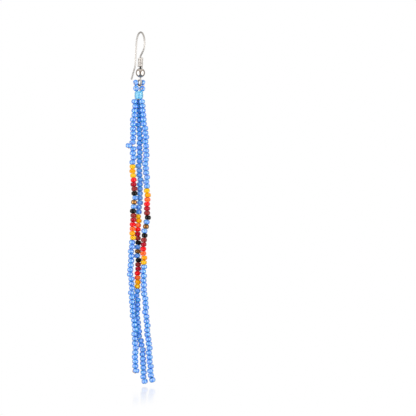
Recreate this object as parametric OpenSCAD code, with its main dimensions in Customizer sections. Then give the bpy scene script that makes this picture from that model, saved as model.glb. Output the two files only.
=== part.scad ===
// Beaded tassel earring on a bent wire ear hook, in millimetres with +Z up.
// The origin is where the hook sits in the ear: on the inside of the top of its bow.
// The hook is bent in the plane x = 0, with its belly towards -Y and its tail towards +Y.
// The bead tassel was measured in a view turned from that plane. Its pieces are placed by
// drop (below the origin), side (to the right in that view) and depth (away in that view).

/* [Ear hook] */
// Diameter of the hook's wire
wire_d = 0.57; // [0.5:0.01:0.6]
// Radius of the bow that passes through the ear, at the middle of the wire
bow_r = 3.75; // [3.6:0.05:3.9]
// How far the middle of the bow stands behind the stem
bow_back = -0.05; // [-0.2:0.05:0.2]
// Radius of the belly, where the bow turns back to the stem
belly_r = 3.2; // [3:0.05:3.4]
// Slant of the wire from the belly to the stem, from straight down
return_slant = 56; // [50:1:60]
// Radius of the bend at the top of the stem
stem_bend_r = 0.7; // [0.6:0.05:0.9]
// Outward slant of the back leg
leg_slant = 8.5; // [6:0.5:10]
// Length of the back leg
leg_len = 7.3; // [6:0.1:8]
// Further outward bend at the top of the tail
tail_bend = 24; // [15:1:30]
// Radius of the bend at the top of the tail
tail_bend_r = 2; // [1.5:0.1:3]
// Length of the straight tail
tail_len = 5.3; // [5.1:0.1:6]
// Length of the rounding at the tail's tip
tip_len = 0.12; // [0.05:0.01:0.2]

/* [Eye] */
// Radius of the eye at the foot of the stem, at the middle of the wire
eye_r = 0.9; // [0.85:0.01:0.95]
// Drop of the middle of the eye
eye_drop = 16.47; // [16.4:0.01:16.6]
// How far the middle of the eye stands behind the stem
eye_back = 0.55; // [0.5:0.01:0.6]
// Radius of the small bend between the stem and the eye
neck_r = 0.5; // [0.4:0.05:0.6]
// How far round the wire of the eye goes
eye_sweep = 298; // [280:1:300]

/* [Coil and ball] */
// Outer diameter of the wire coil on the stem
coil_d = 1.8; // [1.77:0.01:1.83]
// Diameter of the coil's wire
coil_wire_d = 0.48; // [0.46:0.01:0.49]
// Number of turns of the coil
coil_turns = 7; // [6:1:7]
// Drop of the coil's upper end
coil_drop = 8.04; // [8:0.01:8.1]
// Lean of the coil on the stem, to the right at its top
coil_lean = 3; // [0:0.5:3]
// Diameter of the ball under the coil
ball_d = 3.16; // [3:0.01:3.2]
// Diameter of the ball's hole
ball_bore_d = 1.0; // [0.95:0.01:1.1]
// Drop of the middle of the ball
ball_drop = 13.2; // [13.15:0.01:13.25]
// Nod of the ball on the stem, towards the front
ball_nod = 4; // [0:0.5:4]

/* [Beads] */
// Diameter of a seed bead
seed_d = 2.02; // [1.9:0.01:2.02]
// Length of a seed bead along its hole
seed_len = 1.38; // [1.3:0.01:1.38]
// Diameter of the flat ring at each end of a seed bead
seed_flat_d = 1.3; // [1.1:0.01:1.3]
// Diameter of a seed bead's hole
seed_bore_d = 0.6; // [0.55:0.01:0.7]
// Diameter of the head bead that gathers the strands
head_d = 2.95; // [2.85:0.01:3]
// Length of the head bead along its hole
head_len = 2.8; // [2.7:0.01:2.85]
// Diameter of the flat ring at each end of the head bead
head_flat_d = 1.9; // [1.7:0.05:2]
// Diameter of the head bead's hole
head_bore_d = 1.1; // [1.05:0.01:1.2]
// Diameter of the beads of the ring
ring_d = 1.96; // [1.9:0.01:1.96]
// Length of the beads of the ring, which are thin ones
ring_len = 1.2; // [1.1:0.01:1.22]
// Diameter of the beading thread
thread_d = 0.18; // [0.15:0.01:0.2]
// Diameter of the thread where it joins the beads of a run
link_d = 0.5; // [0.4:0.01:0.55]
// Depth to which a joining thread enters a bead
link_depth = 0.3; // [0.25:0.01:0.35]

/* [Tassel] */
// Turn from the hook's side view to the view in which the tassel is laid out
view_turn = 23; // [20:1:26]
// Furthest sideways wobble of a bead on its strand
wobble_side = 0.1; // [0:0.01:0.1]
// Furthest tilt of a bead on its strand
wobble_tilt = 3.5; // [0:0.5:3.5]

/* [Hidden] */
$fn = 48;
wire_r = wire_d / 2;
thread_r = thread_d / 2;
// Rings of the threads' tubes have few sides, because a thread is thin
thread_sides = 8;
// Step of the angle along the rounded side of a bead's outline
outline_step = 30;
// A direction that no thread runs along, from which the rings of its tube are turned
thread_side = [0.05, 1, 0.05];
// Narrowing of the tail's tip over the length of its rounding
tip_slope = 0.7;

// Heading of the wire is its angle from +Y towards +Z
// The neck bends forward by just enough to set the eye eye_back behind the stem
neck_bend = acos((eye_back + neck_r) / (neck_r + eye_r));
neck_drop = eye_drop - (neck_r + eye_r) * sin(neck_bend);
bow_drop = bow_r - wire_r;
belly_forward = bow_r - bow_back;
belly_end = [
    -(belly_forward - belly_r) - belly_r * cos(return_slant),
    bow_drop + belly_r * sin(return_slant)
];
stem_bend_forward = stem_bend_r * (1 - cos(return_slant));
return_len = (-belly_end[0] - stem_bend_forward) / sin(return_slant);
stem_top_drop = belly_end[1] + return_len * cos(return_slant) + stem_bend_r * sin(return_slant);
stem_len = neck_drop - stem_top_drop;

// Columns of the wire's two tables, which both start at the top of the bow
LENGTH = 0; // straight length before the bend
RADIUS = 1; // radius of the bend
ANGLE = 2; // angle of the bend, positive to the left
front_bends = [
    [0, bow_r, 90],
    [0, belly_r, return_slant],
    [return_len, stem_bend_r, -return_slant],
    [stem_len, neck_r, -neck_bend],
    [0, eye_r, eye_sweep],
];
back_bends = [
    [0, bow_r, leg_slant - 90],
    [leg_len, tail_bend_r, tail_bend],
];

// Two stretches of the wire each stop this far short of the point where they meet
stretch_gap = 0.015;
// How far the ball that closes such a meeting stands proud of the wire
ball_proud = 0.003;

// Outline of one turn of the coil, in shares of its wire: depth below the rib, and height
coil_rib = [[0.15, 0.02], [0, 0.3], [0, 0.7], [0.15, 0.98]];

// The thread passes through the eye a hair above its wire
eye_thread_clear = 0.06;
eye_thread_drop = eye_drop + eye_r - wire_r - thread_r - eye_thread_clear;
// The eye's place in the tassel's view
eye_side = -eye_back * sin(view_turn);
eye_depth = eye_back * cos(view_turn);

// The head bead's middle: side, depth and drop
head_place = [-0.52, 0.38, 20.6];
// Spread of the strands' threads inside the head bead's hole
hole_spread = 0.3;
// Each strand's thread turns outwards in a knuckle just under the head bead
knuckle_d = 0.2;
knuckle_drop = 0.02;
// How far the threads reach into the head bead from its two ends
strand_reach = 0.7;
ring_reach = 0.8;
// How far the ring's thread runs straight past the ends of a hole, and past the eye's middle
ring_lead = 0.3;
eye_stretch = 0.4;

// The ring of four beads through the eye, in the order of its thread from the left of the head
// bead. Columns: name, side, depth, drop, and the way of its hole as side, depth and rise
NAME = 0;
PLACE = 1;
WAY = 2;
ring_beads = [
    ["lower_left", [-1.45, 0.1, 18.35], [-0.35, -0.45, 0.82]],
    ["upper_left", [-1.62, 0.05, 16.42], [0.6, 0.72, 0.3]],
    ["upper_right", [0.78, 1.36, 16.34], [0.89, 0.29, -0.32]],
    ["lower_right", [0.77, 0.97, 18.41], [-0.5, -0.35, -0.79]],
];

// The bead that stands out to the left of the left strand
side_bead_place = [-3.8, -1.24, 37.5];
side_bead_way = [0.17, 0.1, 1];

// The three strands, and the columns of their table
DROPS = 1; // pairs of a bead's number and its drop
ROUTE = 2; // rows of drop, side and depth
COUNTS = 3; // beads above the band, and beads below it before the end bead
BAND = 4; // colours of the band from its top
END_WAY = 5; // the way of the end bead's hole as side, depth and rise
sunset = [
    "yellow", "amber", "orange", "red", "crimson", "brick", "black", "blue", "bronze",
    "blue", "black", "brick", "crimson", "red", "orange", "amber", "yellow",
];
// The left strand has a yellow bead where the others have an orange one
sunset_left = [
    "yellow", "amber", "yellow", "red", "crimson", "brick", "black", "blue", "bronze",
    "blue", "black", "brick", "crimson", "red", "orange", "amber", "yellow",
];
strands = [
    [
        "left",
        [[0, 22.78], [9, 36.42], [10, 38.5], [14, 44.5], [30, 68.17], [58, 110.95], [59, 112.51]],
        [
            [22.6, -1.65, -0.1], [28.5, -2.25, -0.2], [33, -2.55, -0.15], [37, -2.4, -0.1],
            [47.5, -2.6, -0.2], [50.5, -2.1, -0.3], [53.5, -1.8, -0.3], [57, -2.1, -0.25],
            [60, -2.4, -0.2], [68, -2.6, -0.2], [75, -3.1, -0.1], [79.5, -3.4, -0.1],
            [83, -2.95, -0.2],
            [91, -2.75, -0.3], [97, -1.95, -0.35], [103, -1.75, -0.2], [112.5, -1.65, 0],
        ],
        [14, 28],
        sunset_left,
        [0.14, 0.14, 1],
    ],
    [
        "middle",
        [[0, 23.1], [25, 61.1], [41, 84.43], [62, 116.13]],
        [
            [23.1, -0.55, 1.7], [31, -0.5, 1.55], [38, -0.15, 1.45], [43, -0.55, 1.5],
            [52, -0.1, 1.45], [57, -0.35, 1.4], [62, -0.8, 1.45], [70, -0.95, 1.5],
            [79, -0.8, 1.5], [84, -1.1, 1.5], [94, -1.1, 1.5], [98, -0.9, 1.45],
            [103, 0.1, 1.2], [107, 0.9, 1.05], [113.5, 0.85, 0.9], [116.2, 1.5, 0.85],
        ],
        [25, 20],
        sunset,
        [-0.25, 0.1, 1],
    ],
    [
        "right",
        [[0, 22.78], [20, 52.5], [36, 76.37], [62, 115.57]],
        [
            [22.8, 0.7, -0.1], [26, 0.65, -0.1], [31.5, 1.5, 0], [38, 1.95, 0.05],
            [43.5, 1.7, 0], [53, 2.3, -0.1], [63, 2.25, -0.15], [67, 1.2, -0.2],
            [72, 1, -0.2], [79, 1.2, -0.15], [82.5, 0.9, -0.15], [88, 1.5, -0.1],
            [96, 2.05, 0], [105, 2.9, 0.1], [114, 3.35, 0.15], [115.6, 4.25, 0.15],
        ],
        [20, 25],
        sunset,
        [-0.3, -0.2, 1],
    ],
];
// Half the length over which a strand's route is rounded off at each row
route_soft = 1.6;
// Sets the strands back until the tassel's weight is under the eye
strands_back = 0.07;
// Angles of the waves by which the beads wobble: two turns from bead to bead, and where the
// sideways shift, the shift in depth and the two tilts start
quick_turn = 137.5;
slow_turn = 61;
side_phase = 20;
depth_phase = 75;
tilt_phase = 130;
nod_phase = 200;
// The shift in depth as a share of the sideways one
depth_share = 0.5;

// Colour of each kind of bead
tints = [
    ["blue", "#6FA8F8"], ["yellow", "#FCC92B"], ["amber", "#FFA300"], ["orange", "#FF6F3C"],
    ["red", "#F81530"], ["crimson", "#B8102E"], ["brick", "#8E2A2A"], ["black", "#101014"],
    ["bronze", "#A8762E"], ["turquoise", "#6CCBF2"], ["thread", "#D2C6C2"], ["silver", "#C9C6C1"],
];
function tint(name) = [for (t = tints) if (t[0] == name) t[1]][0];
band_colours = ["yellow", "amber", "orange", "red", "crimson", "brick", "black", "blue", "bronze"];

// Vectors
function unit(v) = v / norm(v);
// A place given as side, depth and drop, as a point of the turned view's frame
function spot(place) = [place[0], place[1], -place[2]];

// Route of a strand: the point at a bead number, which may lie between two beads
function soft_lookup(x, pairs) =
    (lookup(x - route_soft, pairs) + 2 * lookup(x, pairs) + lookup(x + route_soft, pairs)) / 4;
function route_point(strand, n) =
    let (
        drop = lookup(n, strand[DROPS]),
        side = soft_lookup(drop, [for (r = strand[ROUTE]) [r[0], r[1]]]),
        depth = soft_lookup(drop, [for (r = strand[ROUTE]) [r[0], r[2]]])
    )
    [side, depth + strands_back, -drop];

// A bead's own small shift and tilt repeat the same way each time: they are waves of the bead's
// number, and each strand's waves start at another angle
function wobble(n, phase) = sin(n * quick_turn + phase) * cos(n * slow_turn + 2 * phase);
function bead_point(strand, n) =
    route_point(strand, n)
    + wobble_side * [
        wobble(n, side_phase * len(strand[NAME])),
        depth_share * wobble(n, depth_phase),
        0
    ];
function bead_way(strand, n) =
    unit(
        unit(route_point(strand, n - 0.5) - route_point(strand, n + 0.5))
        + sin(wobble_tilt) * [
            wobble(n, tilt_phase),
            wobble(n, nod_phase + len(strand[NAME])),
            0
        ]
    );
function band_start(strand) = strand[COUNTS][0];
function lower_start(strand) = band_start(strand) + len(strand[BAND]);
function end_number(strand) = lower_start(strand) + strand[COUNTS][1];

// Outline of a bead from the middle of one end, round its side, to the middle of the other
function bead_outline(d, flat_d, length, bore_d) = concat(
    [[bore_d / 2, -length / 2]],
    [for (a = [-90:outline_step:90])
        [flat_d / 2 + (d - flat_d) / 2 * cos(a), length / 2 * sin(a)]],
    [[bore_d / 2, length / 2]]
);

// Moves what is drawn along +Z to a point, along a direction
module along(point, way) {
    u = unit(way);
    translate(point) rotate([0, acos(u[2]), atan2(u[1], u[0])]) children();
}

// Turns the tassel's view frame into the hook's frame
module in_view() {
    rotate([0, 0, -view_turn]) children();
}

module rod(from, to, d) {
    along(from, to - from) cylinder(d = d, h = norm(to - from));
}

module seed_bead(point, way, bore_d, d = seed_d, length = seed_len) {
    along(point, way) rotate_extrude() polygon(bead_outline(d, seed_flat_d, length, bore_d));
}

// A thread as a tube through a list of points
module thread_tube(points) {
    last = len(points) - 1;
    rings = [for (i = [0:last])
        let (
            t = unit(points[min(i + 1, last)] - points[max(i - 1, 0)]),
            n = unit(cross(t, thread_side)),
            b = cross(t, n)
        )
        for (k = [0:thread_sides - 1])
            let (a = 360 * k / thread_sides)
            points[i] + thread_r * (cos(a) * n + sin(a) * b)
    ];
    walls = [for (i = [0:last - 1], k = [0:thread_sides - 1])
        let (
            a = i * thread_sides + k,
            b = i * thread_sides + (k + 1) % thread_sides
        )
        for (face = [[a, b, a + thread_sides], [b, b + thread_sides, a + thread_sides]]) face
    ];
    first_cap = [for (k = [0:thread_sides - 1]) thread_sides - 1 - k];
    last_cap = [for (k = [0:thread_sides - 1]) last * thread_sides + k];
    polyhedron(rings, concat(walls, [first_cap, last_cap]));
}

// Bent wire: a state is the point in the hook's plane and the heading there
function heading(h) = [cos(h), sin(h)];
function left_of(h) = [-sin(h), cos(h)];
function after_straight(state, row) =
    let (p = [state[0], state[1]] + row[LENGTH] * heading(state[2])) [p[0], p[1], state[2]];
function bend_middle(state, row) =
    [state[0], state[1]] + row[RADIUS] * sign(row[ANGLE]) * left_of(state[2]);
function after_bend(state, row) =
    let (
        h = state[2] + row[ANGLE],
        p = bend_middle(state, row) - row[RADIUS] * sign(row[ANGLE]) * left_of(h)
    )
    [p[0], p[1], h];
function walk(rows, state, i = 0) =
    i == len(rows)
    ? [state]
    : concat([state], walk(rows, after_bend(after_straight(state, rows[i]), rows[i]), i + 1));

// Stretches of wire stop just short of each other, inside a ball hardly wider than the wire
module closing_ball(state) {
    translate([0, state[0], state[1]]) sphere(r = wire_r + ball_proud);
}

module straight_wire(state, length) {
    translate([0, state[0], state[1]])
        rotate([state[2] - 90, 0, 0])
            translate([0, 0, stretch_gap])
                cylinder(r = wire_r, h = length - 2 * stretch_gap);
}

module bent_wire(state, row) {
    middle = bend_middle(state, row);
    begin = state[2] - 90 * sign(row[ANGLE]);
    gap_turn = stretch_gap / row[RADIUS] * 180 / PI;
    translate([0, middle[0], middle[1]])
        rotate([90, 0, 90])
            rotate([0, 0, min(begin, begin + row[ANGLE]) + gap_turn])
                rotate_extrude(angle = abs(row[ANGLE]) - 2 * gap_turn)
                    translate([row[RADIUS], 0])
                        circle(r = wire_r);
}

module wire(rows, start) {
    states = walk(rows, start);
    for (i = [0:len(rows) - 1]) {
        bend_start = after_straight(states[i], rows[i]);
        if (rows[i][LENGTH] > 0) {
            straight_wire(states[i], rows[i][LENGTH]);
            closing_ball(bend_start);
        }
        bent_wire(bend_start, rows[i]);
        if (i > 0)
            closing_ball(states[i]);
    }
}

module tail(state) {
    tip_r = wire_r - tip_len * tip_slope;
    translate([0, state[0], state[1]])
        rotate([state[2] - 90, 0, 0])
            rotate_extrude()
                polygon([
                    [0, stretch_gap], [wire_r, stretch_gap], [wire_r, tail_len - tip_len],
                    [tip_r, tail_len], [0, tail_len]
                ]);
}

// The ear hook: tail, leg, bow, belly, stem and eye are one bent wire
front_start = [bow_back, wire_r, 180];
back_start = [bow_back, wire_r, 0];
tail_start = walk(back_bends, back_start)[len(back_bends)];
module ear_hook() {
    color(tint("silver")) {
        wire(front_bends, front_start);
        wire(back_bends, back_start);
        closing_ball(front_start);
        closing_ball(tail_start);
        tail(tail_start);
    }
}

// The coil: a ribbed sleeve with the outline of its turns
module hook_coil() {
    outer = coil_d / 2;
    inner = outer - coil_wire_d;
    ribs = [for (i = [0:coil_turns - 1], p = coil_rib)
        [outer - p[0] * coil_wire_d, (i + p[1]) * coil_wire_d]];
    coil_len = coil_turns * coil_wire_d;
    color(tint("silver"))
        in_view()
            translate([0, 0, -coil_drop - coil_len / 2])
                rotate([0, coil_lean, 0])
                    translate([0, 0, -coil_len / 2])
                        rotate_extrude()
                            polygon(concat([[inner, 0]], ribs, [[inner, coil_len]]));
}

// The ball under the coil, with a hole wider than the stem
module hook_ball() {
    color(tint("silver"))
        translate([0, 0, -ball_drop])
            in_view()
                rotate([ball_nod, 0, 0])
                    difference() {
                        sphere(d = ball_d);
                        cylinder(d = ball_bore_d, h = 2 * ball_d, center = true);
                    }
}

module ring_bead(bead) {
    color(tint("blue"))
        in_view()
            seed_bead(spot(bead[PLACE]), bead[WAY], seed_bore_d, ring_d, ring_len);
}

// The thread of the ring, from the head bead's hole through the eye and back
module ring_thread() {
    // The thread runs straight for a little past each end of a hole
    half = ring_len / 2 + ring_lead;
    head_top = spot(head_place) + [0, 0, head_len / 2];
    eye = [eye_side, eye_depth, -eye_thread_drop];
    // Along +X of the hook's frame, which is across the eye
    across = [cos(view_turn), sin(view_turn), 0];
    through = [for (b = ring_beads)
        let (u = unit(b[WAY]), p = spot(b[PLACE])) [p - half * u, p + half * u]];
    color(tint("thread"))
        in_view()
            thread_tube([
                head_top + [-hole_spread, 0, -ring_reach],
                head_top + [-hole_spread, 0, ring_lead],
                through[0][0], through[0][1],
                through[1][0], through[1][1],
                eye - eye_stretch * across, eye + eye_stretch * across,
                through[2][0], through[2][1],
                through[3][0], through[3][1],
                head_top + [hole_spread, 0, ring_lead],
                head_top + [hole_spread, 0, -ring_reach],
            ]);
}

// The large bead that gathers the three strands
module head_bead() {
    color(tint("turquoise"))
        in_view()
            translate(spot(head_place))
                rotate_extrude()
                    polygon(bead_outline(head_d, head_flat_d, head_len, head_bore_d));
}

module left_side_bead() {
    color(tint("blue")) in_view() seed_bead(spot(side_bead_place), side_bead_way, seed_bore_d);
}

// A run of beads joined along their thread, from one bead number up to but not including another
module bead_run(strand, first, beyond) {
    inside = seed_len / 2 - link_depth;
    for (n = [first:beyond - 1])
        seed_bead(bead_point(strand, n), bead_way(strand, n), 0);
    for (n = [first:beyond - 2])
        rod(
            bead_point(strand, n) - inside * bead_way(strand, n),
            bead_point(strand, n + 1) + inside * bead_way(strand, n + 1),
            link_d
        );
}

// The blue beads above the band, with the thread that comes out of the head bead
module upper_beads(strand) {
    top = bead_point(strand, 0);
    head_bottom = spot(head_place) - [0, 0, head_len / 2];
    out = unit([top[0] - head_bottom[0], top[1] - head_bottom[1], 0]);
    knuckle = head_bottom + hole_spread * out - [0, 0, knuckle_drop];
    color(tint("blue"))
        in_view() {
            bead_run(strand, 0, band_start(strand));
            rod(top + (seed_len / 2 - link_depth) * bead_way(strand, 0), knuckle, thread_d);
            translate(knuckle) sphere(d = knuckle_d);
            rod(knuckle, knuckle + [0, 0, strand_reach], thread_d);
        }
}

// The blue beads below the band
module lower_beads(strand) {
    color(tint("blue")) in_view() bead_run(strand, lower_start(strand), end_number(strand));
}

// The last bead of a strand, turned by the thread that goes back round it
module end_bead(strand) {
    color(tint("blue"))
        in_view()
            seed_bead(bead_point(strand, end_number(strand)), strand[END_WAY], seed_bore_d);
}

// The beads of one colour in a strand's band
module band_beads(strand, colour) {
    color(tint(colour))
        in_view()
            for (k = [0:len(strand[BAND]) - 1])
                if (strand[BAND][k] == colour)
                    seed_bead(
                        bead_point(strand, band_start(strand) + k),
                        bead_way(strand, band_start(strand) + k),
                        seed_bore_d
                    );
}

// The thread that the beads of a strand's band are strung on
module band_thread(strand) {
    color(tint("thread"))
        in_view()
            thread_tube([for (n = [band_start(strand) - 0.5:0.5:lower_start(strand) - 0.5])
                bead_point(strand, n)]);
}

ear_hook();
hook_coil();
hook_ball();
ring_thread();
head_bead();
left_side_bead();
for (b = ring_beads)
    ring_bead(b);
for (s = strands) {
    upper_beads(s);
    lower_beads(s);
    end_bead(s);
    band_thread(s);
    for (c = band_colours)
        band_beads(s, c);
}
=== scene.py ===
"""A beaded tassel earring: a bent wire ear hook with a coil and a ball, a ring of four beads
through its eye, a head bead, and three strands of small glass beads with a banded stretch.

Sizes are in millimetres and turned to metres when a mesh is made. The hook is bent in the plane
x = 0. The tassel is laid out in a view turned from that plane, by side (to the right in that
view), depth (away in that view) and drop (below the origin, the inside of the hook's bow).
"""

import logging
import math
from dataclasses import dataclass
from enum import Enum
from functools import partial
from typing import Any, Callable, Sequence

import bpy
from bpy.types import Material, Mesh, Node, NodeSocket, NodeTree, Object, bpy_prop_collection
from mathutils import Matrix, Vector


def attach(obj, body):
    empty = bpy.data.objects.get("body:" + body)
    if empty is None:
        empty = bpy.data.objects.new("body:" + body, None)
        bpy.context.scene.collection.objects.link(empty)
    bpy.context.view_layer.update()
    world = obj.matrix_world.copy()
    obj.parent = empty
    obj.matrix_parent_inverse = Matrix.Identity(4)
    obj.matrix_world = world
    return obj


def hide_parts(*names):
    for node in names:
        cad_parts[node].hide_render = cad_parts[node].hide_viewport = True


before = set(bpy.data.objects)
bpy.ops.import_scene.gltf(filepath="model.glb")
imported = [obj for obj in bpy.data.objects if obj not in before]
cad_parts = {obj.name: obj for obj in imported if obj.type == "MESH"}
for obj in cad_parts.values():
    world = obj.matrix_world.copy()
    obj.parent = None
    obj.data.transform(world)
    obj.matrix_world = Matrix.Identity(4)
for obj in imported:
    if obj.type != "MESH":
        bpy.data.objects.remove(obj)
log = logging.getLogger("earring")

AddNode = Callable[..., Node]
Pair = tuple[float, float]
Rows = Sequence[Pair]
Triple = tuple[float, float, float]

MM = 0.001
HOOK_BODY = "hook"
TASSEL_BODY = "tassel"
# Turn from the hook's plane to the view in which the tassel is laid out
VIEW_TURN = math.radians(23)
TO_ROW = Matrix.Rotation(-VIEW_TURN, 3, "Z")
UP = Vector((0, 0, 1))
# Attributes that the materials read, from 0 to 1: each bead's own shade, how far painted shade and
# painted dark reflections darken the metal, and how satin
SHADE = "bead_shade"
PAINTED_SHADE = "tarnish"
SATIN = "satin"
# Attributes of points: the way of a bead's hole, its stretch, and a wire's share of its radius
WAY = "way"
STRETCH = "stretch"
SLIMNESS = "slimness"
# Edges of drawn wire stay sharp from this turn on, in degrees
SHARP_FROM = 50


def spot(side: float, depth: float, drop: float) -> Vector:
    """Turns side, depth and drop into a point of the row's frame, in millimetres."""
    return TO_ROW @ Vector((side, depth, -drop))


def per_metre(size_mm: float) -> float:
    """Gives the texture scale, in cycles to the metre, of a pattern whose features have a size."""
    return 1 / (size_mm * MM)


def linear(hex_colour: str) -> tuple[float, float, float, float]:
    """Turns an sRGB colour into linear light.

    Args:
        hex_colour: The colour as "#RRGGBB".

    Returns:
        Linear red, green and blue, and an alpha of 1.
    """
    parts = [int(hex_colour[i : i + 2], 16) / 255 for i in (1, 3, 5)]
    red, green, blue = [p / 12.92 if p <= 0.04045 else ((p + 0.055) / 1.055) ** 2.4 for p in parts]
    return red, green, blue, 1.0


def lookup(x: float, rows: Rows) -> float:
    """Reads a value from a table.

    Args:
        x: Where to read.
        rows: Pairs of a place and a value, in order.

    Returns:
        The value between the rows, or the first or last one outside them.
    """
    if x <= rows[0][0]:
        return rows[0][1]
    for (a, low), (b, high) in zip(rows, rows[1:]):
        if x <= b:
            return low + (high - low) * (x - a) / (b - a)
    return rows[-1][1]


def smooth_path(points: Sequence[Vector], step: float) -> list[Vector]:
    """Runs a smooth curve through points.

    Args:
        points: The points to pass through, in millimetres.
        step: The rough distance between the new points.

    Returns:
        Points along a Catmull-Rom curve, ends included.
    """
    padded = [2 * points[0] - points[1], *points, 2 * points[-1] - points[-2]]
    path = []
    for a, b, c, d in zip(padded, padded[1:], padded[2:], padded[3:]):
        count = max(1, round((c - b).length / step))
        square, cube = 2 * a - 5 * b + 4 * c - d, 3 * b - a - 3 * c + d
        for t in [i / count for i in range(count)]:
            path.append(0.5 * (2 * b + (c - a) * t + square * t**2 + cube * t**3))
    return [*path, points[-1]]


def lathe(name: str, outline: Rows, sides: int) -> Mesh:
    """Turns a closed outline round +Z into a closed mesh.

    Args:
        name: The mesh's name.
        outline: Radius and height of each point in millimetres, anticlockwise.
        sides: How many steps go round.

    Returns:
        The mesh, in metres.
    """
    turns = [math.tau * i / sides for i in range(sides)]
    points = [
        (r * math.cos(a) * MM, r * math.sin(a) * MM, z * MM) for a in turns for r, z in outline
    ]
    count = len(outline)
    faces = []
    for i in range(sides):
        here, there = i * count, (i + 1) % sides * count
        for j in range(count):
            after = (j + 1) % count
            faces.append((here + j, there + j, there + after, here + after))
    mesh = bpy.data.meshes.new(name)
    mesh.from_pydata(points, [], faces)
    mesh.shade_smooth()
    return mesh


def add_node(
    tree: NodeTree, kind: str, inputs: dict[str | int, Any] | None = None, **settings: Any
) -> Node:
    """Adds a node to a tree with its settings and what goes into it.

    Args:
        tree: The shader or geometry tree.
        kind: The node's type.
        inputs: For an input's name or number, its value, the output that feeds it, or the node
            whose first output does.
        settings: The node's own options.

    Returns:
        The new node.
    """
    node = tree.nodes.new(kind)
    for name, value in settings.items():
        setattr(node, name, value)
    for key, value in (inputs or {}).items():
        if isinstance(value, Node):
            value = value.outputs[0]
        if isinstance(value, NodeSocket):
            tree.links.new(value, node.inputs[key])
        else:
            node.inputs[key].default_value = value
    return node


def new_material(name: str) -> tuple[Material, AddNode]:
    """Makes an empty material.

    Args:
        name: The material's name.

    Returns:
        The material, and what adds nodes to it.
    """
    material = bpy.data.materials.new(name)
    material.use_nodes = True
    material.node_tree.nodes.clear()
    return material, partial(add_node, material.node_tree)


class Slot(Enum):
    """The record's material slots."""

    METAL = "polished_metal"
    THREAD = "beading_thread"
    BLUE = "blue_glass"
    TURQUOISE = "turquoise_glass"
    YELLOW = "yellow_glass"
    AMBER = "amber_glass"
    ORANGE = "orange_glass"
    RED = "red_glass"
    CRIMSON = "crimson_glass"
    BRICK = "brick_glass"
    BLACK = "black_glass"
    BRONZE = "bronze_glass"

    @property
    def colour(self) -> str:
        """The plain colour name that the slot's name starts with."""
        return self.value.split("_")[0]


@dataclass(frozen=True)
class GlassFinish:
    """Opaque soda glass of a drawn and tumbled seed bead.

    Its colour runs through, a shade apart from bead to bead and in faint streaks along the cane.
    Fire polishing leaves a glossy skin with shallow ripples, which soften the highlights.
    """

    slot: Slot
    body: str
    deep: str
    roughness: float = 0.22
    metallic: float = 0.0
    specular: float = 0.2
    ior: float = 1.52
    # Share of the light that travels inside, and how far the colour that it keeps best goes
    glow: float = 0.8
    reach_mm: float = 0.8
    streak_mm: float = 0.9
    ripple_mm: float = 0.45
    ripple_depth_mm: float = 0.003
    # The body colour turns to the deep one while streak and shade together rise through this
    deepening: Pair = (0.3, 1.6)
    # Least and most roughness along the ripples, as shares of the usual one
    gloss_span: Pair = (0.7, 1.3)

    def material(self) -> Material:
        """Makes the material.

        Returns:
            The material, named for its slot.
        """
        material, add = new_material(self.slot.value)
        place = add("ShaderNodeTexCoord").outputs["Object"]
        shade = add("ShaderNodeAttribute", attribute_name=SHADE).outputs["Fac"]
        streaks, ripples = [
            add("ShaderNodeTexNoise", {"Vector": place, "Scale": per_metre(size), "Detail": detail})
            for size, detail in ((self.streak_mm, 2.0), (self.ripple_mm, 1.0))
        ]
        both = add("ShaderNodeMath", {0: streaks, 1: shade}, operation="ADD")
        begin, full = self.deepening
        share = add("ShaderNodeMapRange", {"Value": both, "From Min": begin, "From Max": full})
        tints = {"Factor": share, "A": linear(self.body), "B": linear(self.deep)}
        colour = add("ShaderNodeMix", tints, data_type="RGBA")
        depth = self.ripple_depth_mm * MM
        bump = add("ShaderNodeBump", {"Height": ripples, "Distance": depth, "Strength": 1.0})
        least, most = [self.roughness * part for part in self.gloss_span]
        gloss = add("ShaderNodeMapRange", {"Value": ripples, "To Min": least, "To Max": most})
        sockets = {
            "Base Color": colour.outputs["Result"],
            "Roughness": gloss,
            "Metallic": self.metallic,
            "IOR": self.ior,
            "Specular IOR Level": self.specular,
            "Normal": bump,
            "Subsurface Weight": self.glow,
            "Subsurface Radius": linear(self.body)[:3],
            "Subsurface Scale": self.reach_mm * MM,
        }
        shader = add("ShaderNodeBsdfPrincipled", sockets)
        add("ShaderNodeOutputMaterial", {"Surface": shader})
        return material


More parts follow.
